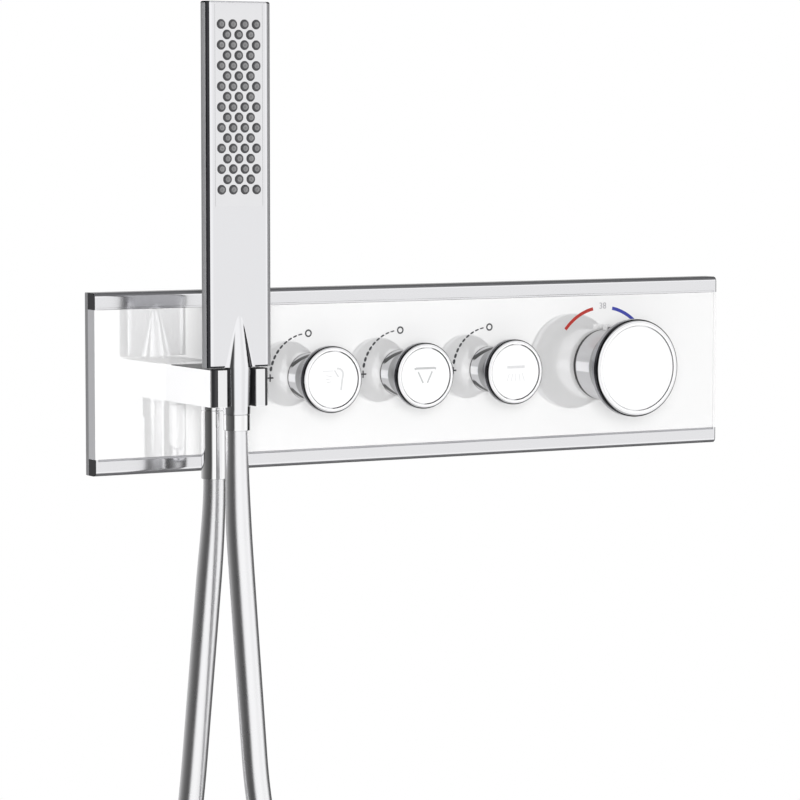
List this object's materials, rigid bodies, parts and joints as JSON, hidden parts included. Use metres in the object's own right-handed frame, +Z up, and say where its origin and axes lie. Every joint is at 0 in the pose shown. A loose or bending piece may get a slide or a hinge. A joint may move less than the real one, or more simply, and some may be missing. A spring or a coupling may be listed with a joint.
{
  "type": "thermostatic shower mixer",
  "caption": "Wall panel shower mixer with a thermostat knob, push-and-turn volume knobs, a hand shower in a holder arm and a hanging hose, with its in-wall valve body.",
  "frame": {"origin": "centre of the panel on the wall plane, which is also the centre of the four wall screw holes", "axes": "+X along the panel to the right as seen from the room, +Y into the wall, +Z up"},
  "size_m": [0.5068, 0.1499, 0.8625],
  "materials": {
    "rail_chrome": "bright polished chrome on aluminium",
    "white_glass": "white back-painted safety glass, glossy",
    "plate_steel": "stainless sheet",
    "seal_rubber": "matt foam rubber",
    "frame_plastic": "moulded, matt",
    "screw_steel": "zinc plated",
    "valve_brass": "cast and turned brass",
    "filter_steel": "woven stainless",
    "check_valve_plastic": "moulded, natural",
    "cartridge_plastic": "glass-filled, grey",
    "knob_chrome": "mirror chrome",
    "button_white": "gloss white",
    "rod_steel": "ground",
    "spring_steel": "spring wire",
    "wax_copper": "copper cup",
    "arm_chrome": "mirror chrome",
    "shower_chrome": "mirror chrome",
    "spray_face": "satin chrome",
    "nozzle_silicone": "grey silicone",
    "hose_silver": "silver, smooth"
  },
  "bodies": {
    "mixer": {"arm_gasket": "seal_rubber", "arm_grub_screw": "screw_steel", "arm_nipple": "valve_brass", "body_screws": "screw_steel", "bottom_rail": "rail_chrome", "carrier_plate": "plate_steel", "cartridge_nuts": "valve_brass", "front_panel": "white_glass", "holder_arm": "arm_chrome", "hose_outlet": "arm_chrome", "inlet_check_valves": "check_valve_plastic", "inlet_filters": "filter_steel", "knob_collars": "knob_chrome", "left_end_cap": "rail_chrome", "lower_hose_nut": "arm_chrome", "mounting_frame": "frame_plastic", "outlet_check_valve": "check_valve_plastic", "panel_clamp_ring": "valve_brass", "port_unions": "valve_brass", "return_spring": "spring_steel", "right_end_cap": "rail_chrome", "shower_hose": "hose_silver", "thermostat_nut": "valve_brass", "thermostat_sleeve": "cartridge_plastic", "top_rail": "rail_chrome", "valve_body": "valve_brass", "volume_cartridges": "cartridge_plastic", "wall_gasket": "seal_rubber"},
    "volume_hand": {"volume_ring_hand": "knob_chrome", "volume_spindle_hand": "valve_brass"},
    "button_hand": {"volume_button_hand": "button_white", "push_rod_hand": "rod_steel", "button_spring_hand": "spring_steel"},
    "volume_spout": {"volume_ring_spout": "knob_chrome", "volume_spindle_spout": "valve_brass"},
    "button_spout": {"volume_button_spout": "button_white", "push_rod_spout": "rod_steel", "button_spring_spout": "spring_steel"},
    "volume_rain": {"volume_ring_rain": "knob_chrome", "volume_spindle_rain": "valve_brass"},
    "button_rain": {"volume_button_rain": "button_white", "push_rod_rain": "rod_steel", "button_spring_rain": "spring_steel"},
    "thermostat": {"thermostat_knob": "knob_chrome", "thermostat_face": "button_white", "knob_screw": "screw_steel", "thermostat_spindle": "valve_brass", "safety_spring": "spring_steel"},
    "safety": {"safety_button": "button_white"},
    "piston": {"mixing_piston": "cartridge_plastic", "wax_element": "wax_copper"},
    "hand_shower": {"hand_shower_shell": "shower_chrome", "spray_plate": "spray_face", "spray_nozzles": "nozzle_silicone", "spray_chamber": "check_valve_plastic", "shower_waterway": "check_valve_plastic", "flow_limiter": "check_valve_plastic", "upper_hose_nut": "arm_chrome"}
  },
  "joints": [
    {"name": "volume_turn_hand", "type": "hinge", "parent": "mixer", "child": "volume_hand", "pos_m": [-0.088, 0, 0], "axis": [0, -1, 0], "range_deg": [0, 90]},
    {"name": "button_push_hand", "type": "slide", "parent": "mixer", "child": "button_hand", "axis": [0, 1, 0], "range_m": [0, 0.0025], "stiffness_N_per_m": 600, "springref_m": -0.002, "deforming": ["button_spring_hand"]},
    {"name": "volume_turn_spout", "type": "hinge", "parent": "mixer", "child": "volume_spout", "pos_m": [-0.01652, 0, 0], "axis": [0, -1, 0], "range_deg": [0, 90]},
    {"name": "button_push_spout", "type": "slide", "parent": "mixer", "child": "button_spout", "axis": [0, 1, 0], "range_m": [0, 0.0025], "stiffness_N_per_m": 600, "springref_m": -0.002, "deforming": ["button_spring_spout"]},
    {"name": "volume_turn_rain", "type": "hinge", "parent": "mixer", "child": "volume_rain", "pos_m": [0.05497, 0, 0], "axis": [0, -1, 0], "range_deg": [0, 90]},
    {"name": "button_push_rain", "type": "slide", "parent": "mixer", "child": "button_rain", "axis": [0, 1, 0], "range_m": [0, 0.0025], "stiffness_N_per_m": 600, "springref_m": -0.002, "deforming": ["button_spring_rain"]},
    {"name": "thermostat_turn", "type": "hinge", "parent": "mixer", "child": "thermostat", "pos_m": [0.14898, 0, 0], "axis": [0, -1, 0], "range_deg": [-60, 60]},
    {"name": "safety_push", "type": "slide", "parent": "thermostat", "child": "safety", "axis": [0, 0, -1], "range_m": [0, 0.0009], "stiffness_N_per_m": 150, "springref_m": -0.0005, "deforming": ["safety_spring"]},
    {"name": "piston_slide", "type": "slide", "parent": "mixer", "child": "piston", "axis": [0, 1, 0], "range_m": [-0.0016, 0.0016], "deforming": ["return_spring"]},
    {"name": "hand_shower_lift", "type": "slide", "parent": "mixer", "child": "hand_shower", "axis": [0, 0, 1], "range_m": [0, 0.045], "deforming": ["shower_hose"]}
  ],
  "couplings": [
    {"joint": "piston_slide", "follows": "thermostat_turn", "m_per_rad": 0.001432}
  ]
}
